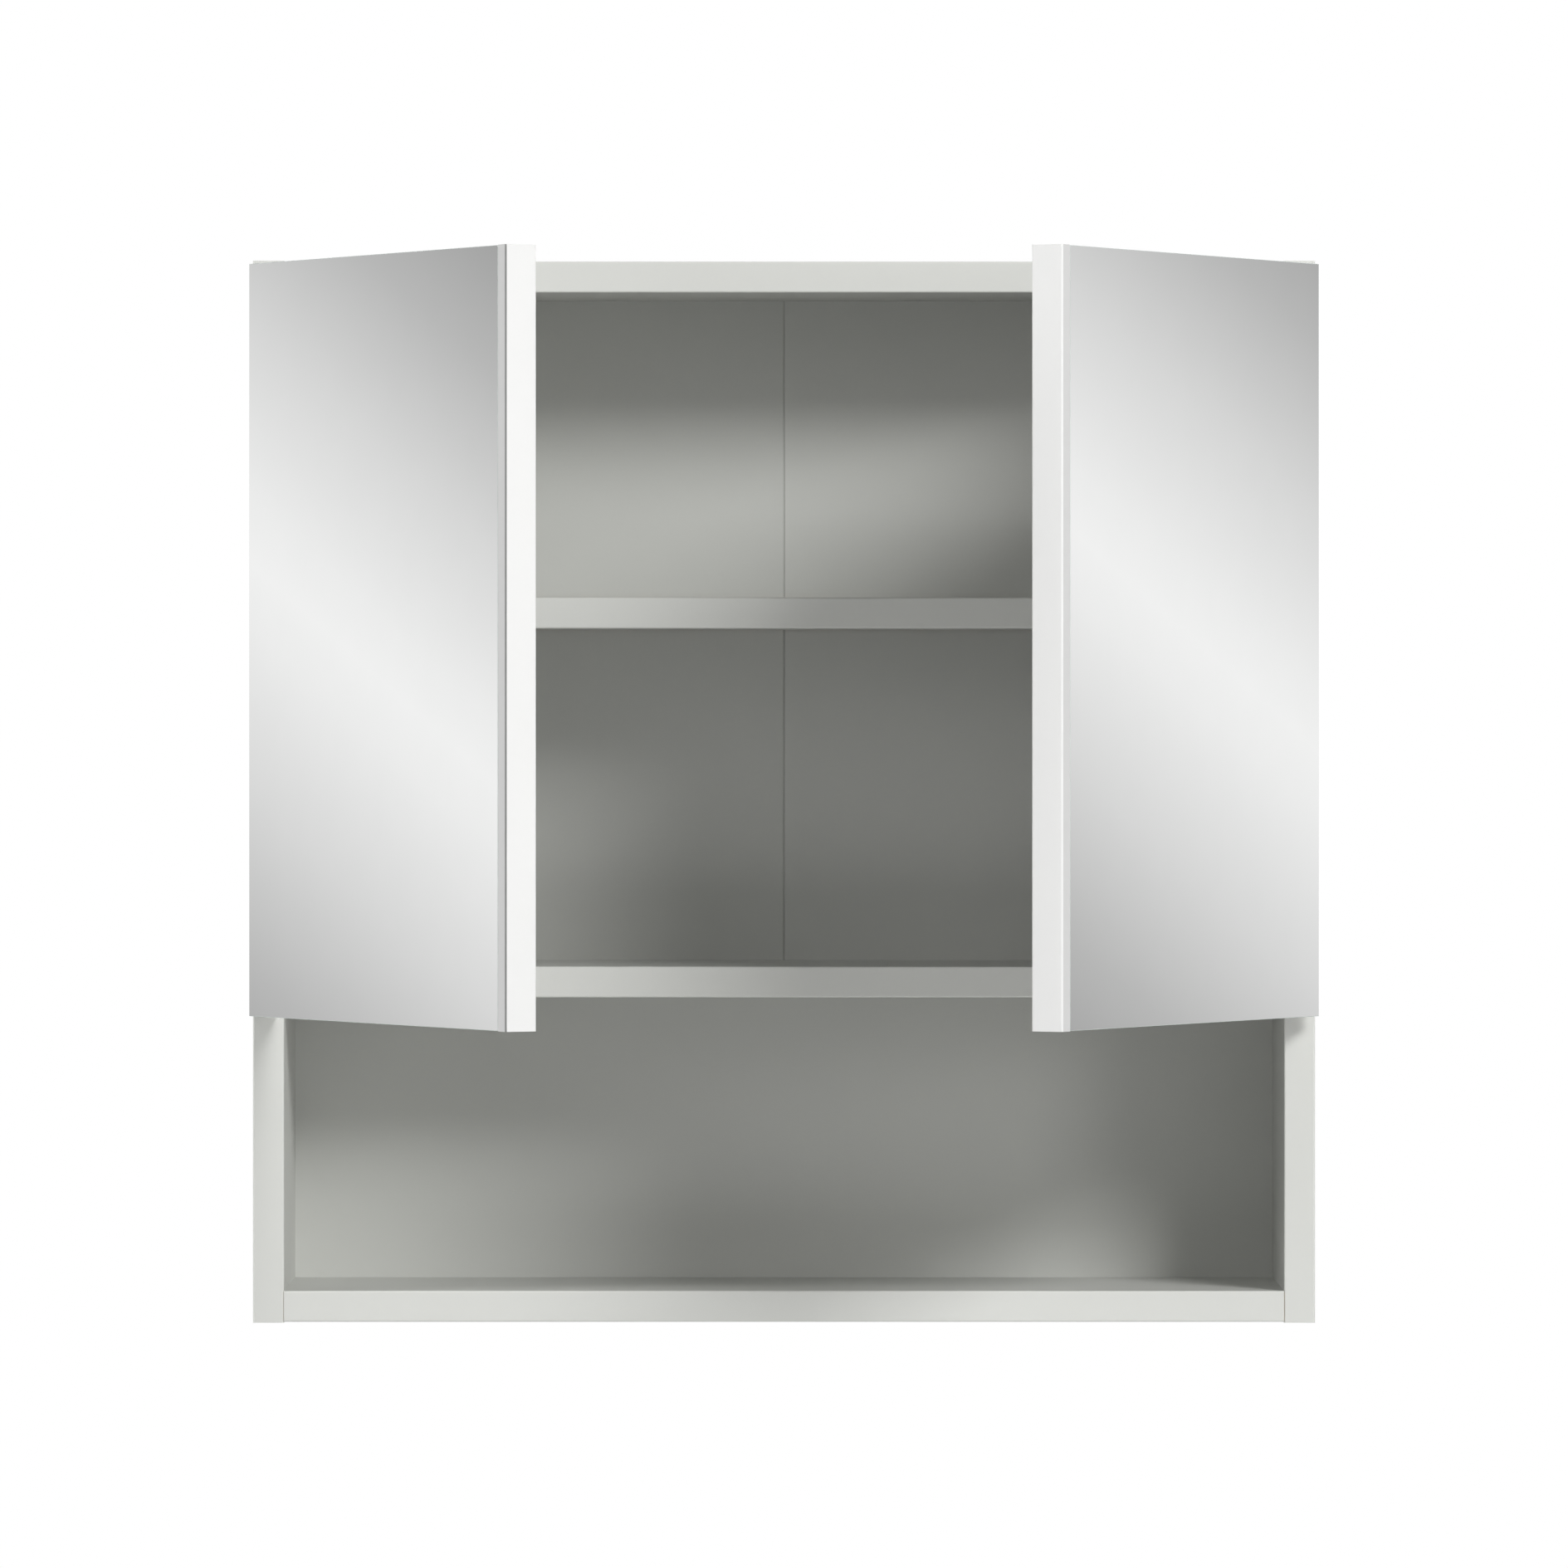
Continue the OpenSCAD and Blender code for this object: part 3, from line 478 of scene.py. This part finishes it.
SILVERED, EDGE, PAINTED = range(3)     # places of a mirror glass's materials
MIRROR_MORE = 0.5 * MM         # the glass reaches this much nearer to the door's top and bottom
GLASS_ARRIS = 0.3 * MM
ARRIS_MIDDLE = (0.30, 0.25)    # inset and depth in the middle of the arris, as shares of it
FOIL_CLEARANCE = 0.02 * MM     # between the foil in the fold and the two halves of the back
FOIL_SHORT = 0.2 * MM          # the foil ends this much before the halves do
CREASE = ((-1.0, 0.12 * MM), (-0.5, 0.30 * MM), (0.0, 0.36 * MM), (0.5, 0.30 * MM),
          (1.0, 0.12 * MM))    # the foil's front: share of its half width, and depth
FOIL_REAR = 0.90 * MM          # depth of its rear


def add_piece(name, mesh, made):
    """Makes the finished mesh an object with the given materials."""
    bmesh.ops.recalc_face_normals(mesh, faces=mesh.faces)
    data = bpy.data.meshes.new(name)
    mesh.to_mesh(data)
    mesh.free()
    add_materials(data, made)
    piece = bpy.data.objects.new(name, data)
    SCENE.collection.objects.link(piece)
    return piece


def join_rings(mesh, near, far):
    """Adds and returns the faces between two rings with the same number of points."""
    near_next, far_next = near[1:] + near[:1], far[1:] + far[:1]
    return [mesh.faces.new(corners) for corners in zip(near, far, far_next, near_next)]


def mirror_piece(side, made):
    """Mirror glass with ground arrises all round: silvered face, polished edges, painted rear."""
    start, across, inward = mirror_plan(side)
    width, thickness = across.length, inward.length
    across.normalize()
    inward.normalize()
    low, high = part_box("door_mirror_" + side)
    bottom, top = low.z - MIRROR_MORE, high.z + MIRROR_MORE
    arris_middle = tuple(share * GLASS_ARRIS for share in ARRIS_MIDDLE)
    mesh = bmesh.new()
    rings = []
    for inset, depth in ((GLASS_ARRIS, 0.0), arris_middle, (0.0, GLASS_ARRIS), (0.0, thickness)):
        ring = []
        for reach, z in ((inset, bottom + inset), (width - inset, bottom + inset),
                         (width - inset, top - inset), (inset, top - inset)):
            plan = start + across * reach + inward * depth
            ring.append(mesh.verts.new((plan.x, plan.y, z)))
        rings.append(ring)
    mesh.faces.new(rings[0]).material_index = SILVERED
    for near, far in zip(rings, rings[1:]):
        for face in join_rings(mesh, near, far):
            face.material_index = EDGE
    mesh.faces.new(rings[-1][::-1]).material_index = PAINTED
    piece = add_piece("mirror_glass_" + side, mesh, made)
    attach(piece, side + "_door")
    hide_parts("door_mirror_" + side)


def fold_foil_painted_shade():
    """The back panel's foil, which runs on through the fold as a shallow crease; its tone, darker
    than the back's lacquer, is painted shade of the crease.
    """
    low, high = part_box("back_upper_left")
    half_width = -high.x - FOIL_CLEARANCE
    outline = CREASE + ((1.0, FOIL_REAR), (-1.0, FOIL_REAR))
    mesh = bmesh.new()
    ends = [[mesh.verts.new((share * half_width, low.y + depth, z)) for share, depth in outline]
            for z in (low.z + FOIL_SHORT, high.z - FOIL_SHORT)]
    mesh.faces.new(ends[0])
    mesh.faces.new(ends[1][::-1])
    join_rings(mesh, *ends)
    # painted shade: the foil's tone is darker than the back's lacquer, for the shade in the crease
    piece = add_piece("fold_foil_painted_shade", mesh, [melamine("fold_foil_painted_shade", (0.52, 0.525, 0.50))])
    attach(piece, "root")


# ------------------------------------------------------------------ studio

FLOOR_Z = -1.30                # well below the hanging cabinet
FLOOR_SIZE = 7.0
CARD_SIZE = 2.4
CARD_DISTANCE = 1.096          # from the middle of the mirror's face
BAND_SLOPE = 0.9               # rise of the painted reflection's bright band along the card's width
BAND_REACH = 0.6               # from the band's crest up or down to where its fading ends
BAND_FADE = ((0.0, 0.93), (0.07, 0.89), (0.26, 0.715), (0.45, 0.505), (0.60, 0.385),
             (1.0, 0.24))      # shares of that reach, and the grey there
LAMP_AIM = Vector((0.0, -0.08, -0.255))     # the middle of the cabinet
LAMP_DISTANCE = 4.5


def make_floor():
    """Pale studio floor."""
    bpy.ops.mesh.primitive_grid_add(x_subdivisions=8, y_subdivisions=8, size=FLOOR_SIZE,
                                    location=(0, 0, FLOOR_Z))
    floor = bpy.context.object
    floor.name = "studio_floor"
    made, nodes = material("studio_floor")
    tone = nodes.mix(nodes.noise(3.0), (0.80, 0.80, 0.80), (0.84, 0.84, 0.84))
    nodes.surface(Base_Color=tone, Roughness=0.9)
    floor.data.materials.append(made)


def painted_reflection_band(name, height):
    """Painted reflection: a glowing sloping bright band, whose crest passes height above the card's
    middle.
    """
    made, nodes = material(name)
    crest = nodes.math("ADD", nodes.math("MULTIPLY", nodes.axis("X"), BAND_SLOPE), height)
    away = nodes.math("ABSOLUTE", nodes.math("SUBTRACT", nodes.axis("Y"), crest))
    tone = nodes.ramp(nodes.math("DIVIDE", away, BAND_REACH),
                      [(share, (level,) * 3) for share, level in BAND_FADE])
    nodes.output(nodes.add("ShaderNodeEmission", {"Color": tone, "Strength": 1.0}))
    return made


def painted_reflection_card(side, height):
    """Large soft card with a painted reflection, which only reflections see, where the camera looks
    by way of the mirror.

    height is that of the bright band's crest above the middle of the mirror.
    """
    start, across, _ = mirror_plan(side)
    low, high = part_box("door_mirror_" + side)
    middle = (start + across / 2).to_3d()
    middle.z = (low.z + high.z) / 2
    camera_view = Vector((0.0, 1.0))
    direction = camera_view.reflect(across.orthogonal()).to_3d()
    bpy.ops.mesh.primitive_grid_add(x_subdivisions=4, y_subdivisions=4, size=CARD_SIZE)
    card = bpy.context.object
    card.name = "painted_reflection_card_" + side
    card.rotation_euler = (-direction).to_track_quat("Z", "Y").to_euler()
    card.location = middle + direction * CARD_DISTANCE
    for ray in ("camera", "diffuse", "shadow", "transmission", "volume_scatter"):
        setattr(card, "visible_" + ray, False)
    card.data.materials.append(painted_reflection_band("painted_reflection_card_" + side, height))


def softbox(name, azimuth, elevation, size, power):
    """Oval lamp that looks at the cabinet; azimuth 0 is straight in front, positive to the right.

    size gives the lamp's width and height.
    """
    data = bpy.data.lights.new(name, "AREA")
    data.shape = "ELLIPSE"
    data.size, data.size_y = size
    data.energy = power
    turn, rise = math.radians(azimuth), math.radians(elevation)
    towards = Vector((math.sin(turn) * math.cos(rise), -math.cos(turn) * math.cos(rise),
                      math.sin(rise)))
    lamp = bpy.data.objects.new(name, data)
    lamp.location = LAMP_AIM + towards * LAMP_DISTANCE
    lamp.rotation_euler = (-towards).to_track_quat("-Z", "Y").to_euler()
    SCENE.collection.objects.link(lamp)


def make_world(ambient):
    """White for the camera and reflections, a faint ambient level for everything else."""
    world = bpy.data.worlds.new("studio")
    world.use_nodes = True
    SCENE.world = world
    nodes = Nodes(world.node_tree)
    path = nodes.add("ShaderNodeLightPath").outputs
    mirrored = nodes.math("MAXIMUM", path["Is Glossy Ray"], path["Is Transmission Ray"])
    seen = nodes.math("MAXIMUM", path["Is Camera Ray"], mirrored)
    tone = nodes.mix(seen, (ambient,) * 3, (1.0,) * 3)
    nodes.output(nodes.add("ShaderNodeBackground", {"Color": tone, "Strength": 1.0}), "World")


# ------------------------------------------------------------------ scene

make_camera()
SCENE.view_settings.view_transform = "Standard"

CHIPBOARD = chipboard("chipboard_core")
dress_carcass(CHIPBOARD)
dress_doors(CHIPBOARD)
dress_fittings()

GLASS = (silvered_glass("silvered_glass"), glass_edge("glass_edge"),
         backing_paint("mirror_backing"))
for mirror_side in SIDES:
    mirror_piece(mirror_side, GLASS)
fold_foil_painted_shade()

make_floor()
# painted reflections: glowing cards seen only in the mirrors, with a bright band set for each door
painted_reflection_card("left", height=-0.056)
painted_reflection_card("right", height=0.0427)
make_world(0.02)
softbox("key_softbox", azimuth=36.0, elevation=30.5, size=(1.6, 1.35), power=127.0)
softbox("side_softbox", azimuth=-80.0, elevation=16.0, size=(1.5, 1.5), power=113.0)
softbox("low_softbox", azimuth=42.0, elevation=2.0, size=(1.2, 1.2), power=23.0)
softbox("front_softbox", azimuth=-13.0, elevation=26.0, size=(3.0, 3.0), power=22.0)
softbox("rear_softbox", azimuth=150.0, elevation=35.0, size=(1.5, 1.5), power=70.0)
